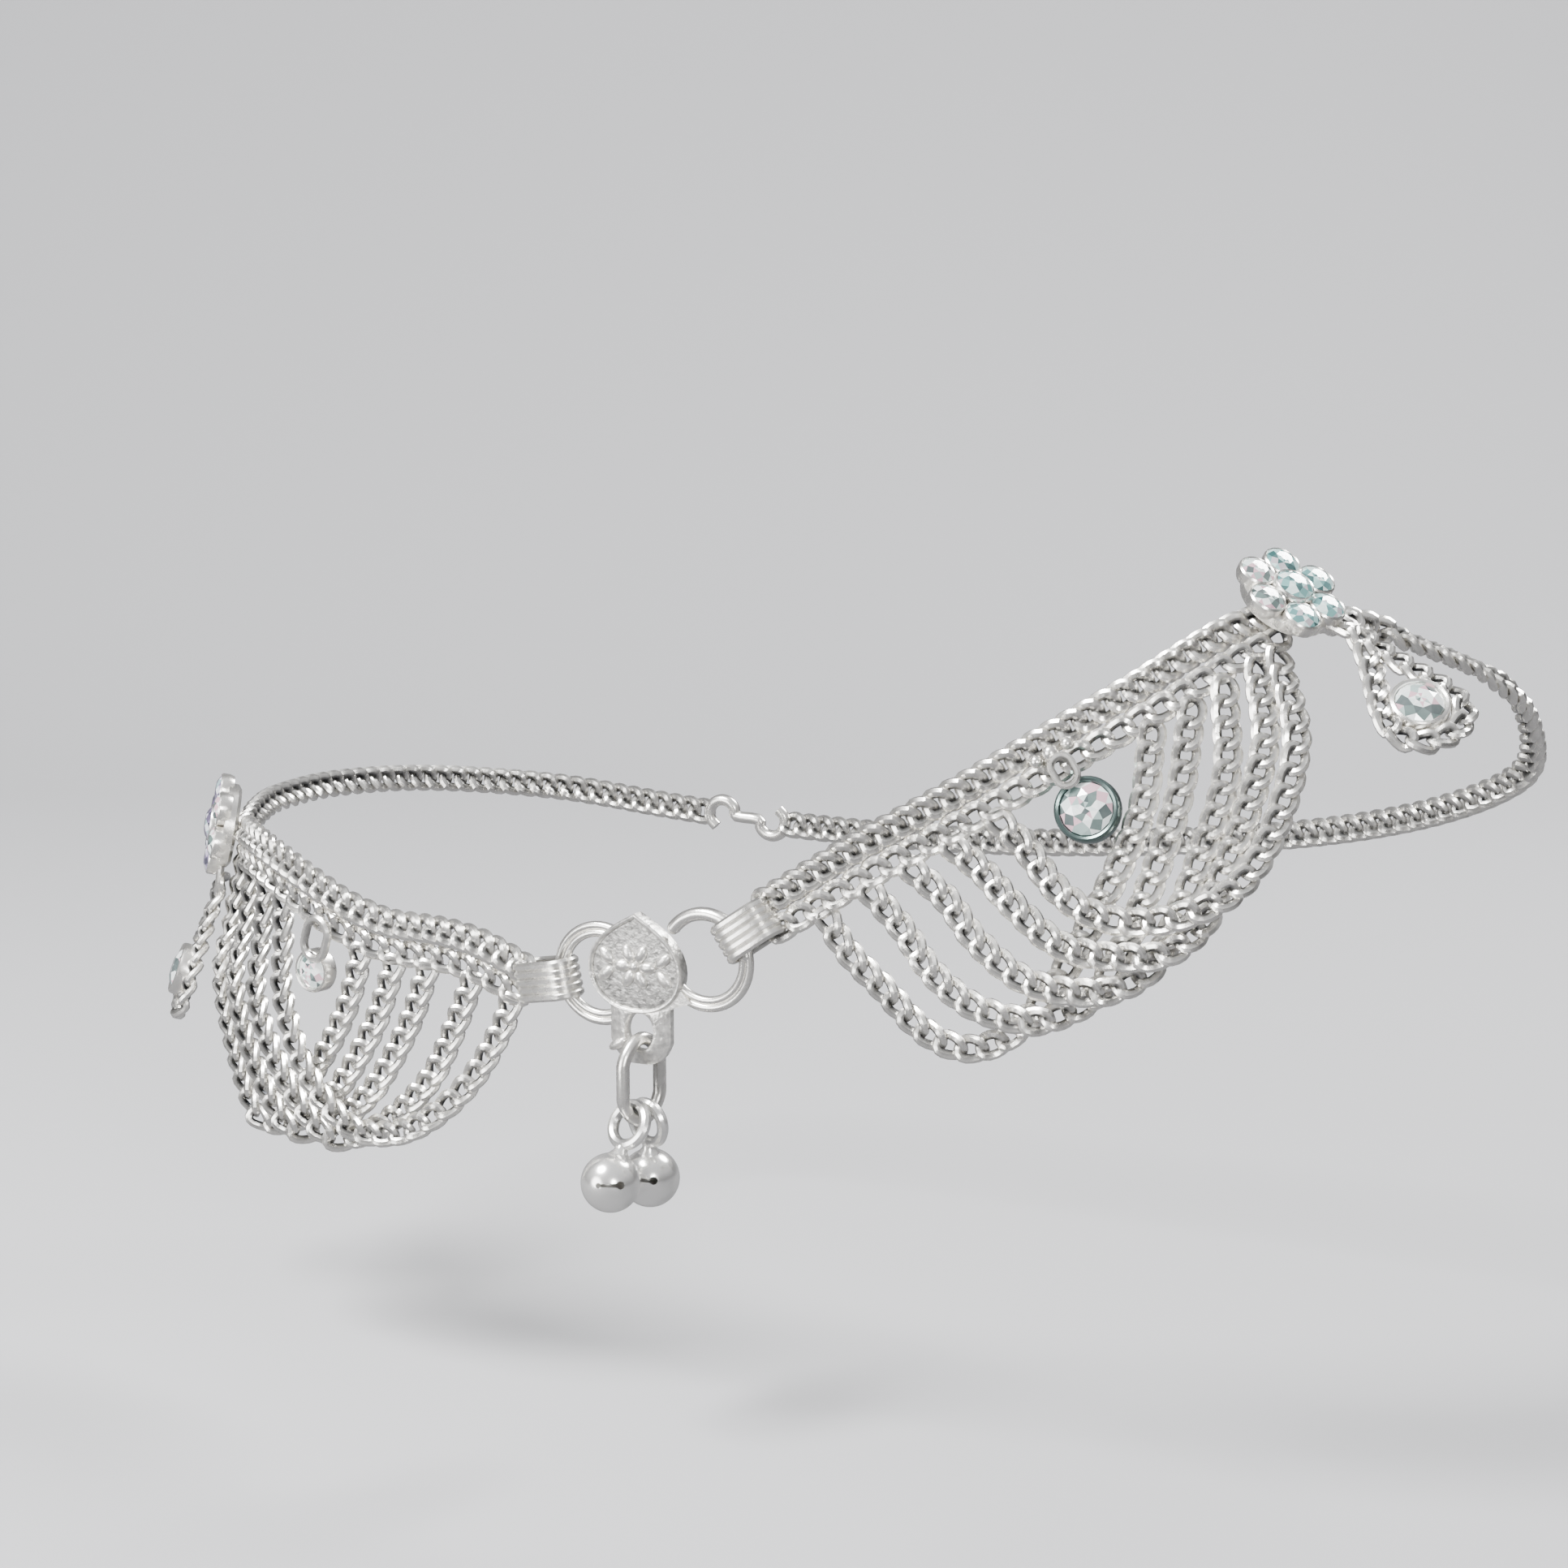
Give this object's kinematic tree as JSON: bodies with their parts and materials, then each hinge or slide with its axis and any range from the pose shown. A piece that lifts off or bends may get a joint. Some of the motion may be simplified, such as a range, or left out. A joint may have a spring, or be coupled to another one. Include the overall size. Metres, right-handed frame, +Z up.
{
  "type": "anklet",
  "caption": "Silver payal anklet with a leaf plate, draped chain festoons, stone flowers, bezel stone drops and a hinged pair of round bells.",
  "frame": {"origin": "middle of the ankle opening at the height of the leaf plate's middle, where the ankle holds the anklet", "axes": "+X along the foot towards the toes, +Y from the leaf plate's side through the ankle to the clasp's side, +Z up the leg"},
  "size_m": [0.1187, 0.0608, 0.0552],
  "materials": {
    "satin_silver": "satin",
    "bright_silver": "polished",
    "clear_stone": "cut and polished",
    "aqua_stone": "cut and polished"
  },
  "bodies": {
    "anklet": {"heart_plate": "satin_silver", "end_bundle_toe": "satin_silver", "end_bundle_heel": "satin_silver", "band_toe": "satin_silver", "band_heel": "satin_silver", "band_far_toe": "satin_silver", "band_far_heel": "satin_silver", "clasp_hook": "satin_silver", "lower_chain_toe": "satin_silver", "lower_chain_heel": "satin_silver", "strand_toe_1": "satin_silver", "strand_toe_2": "satin_silver", "strand_toe_3": "satin_silver", "strand_toe_4": "satin_silver", "strand_toe_5": "satin_silver", "strand_heel_1": "satin_silver", "strand_heel_2": "satin_silver", "strand_heel_3": "satin_silver", "strand_heel_4": "satin_silver", "strand_heel_5": "satin_silver", "stone_drop_toe": "clear_stone", "stone_drop_heel": "aqua_stone", "flower_toe": "aqua_stone", "flower_heel": "aqua_stone", "pendant_toe_chain": "satin_silver", "pendant_toe_stone": "clear_stone", "pendant_heel_chain": "satin_silver", "pendant_heel_stone": "clear_stone"},
    "bell_drop": {"jump_ring": "satin_silver", "bell_inner": "bright_silver", "bell_outer": "bright_silver"}
  },
  "joints": [
    {"name": "bell_swing", "type": "hinge", "parent": "anklet", "child": "bell_drop", "pos_m": [0.00025, -0.02749, -0.00796], "axis": [1, 0, 0], "range_deg": [-75, 20]}
  ]
}
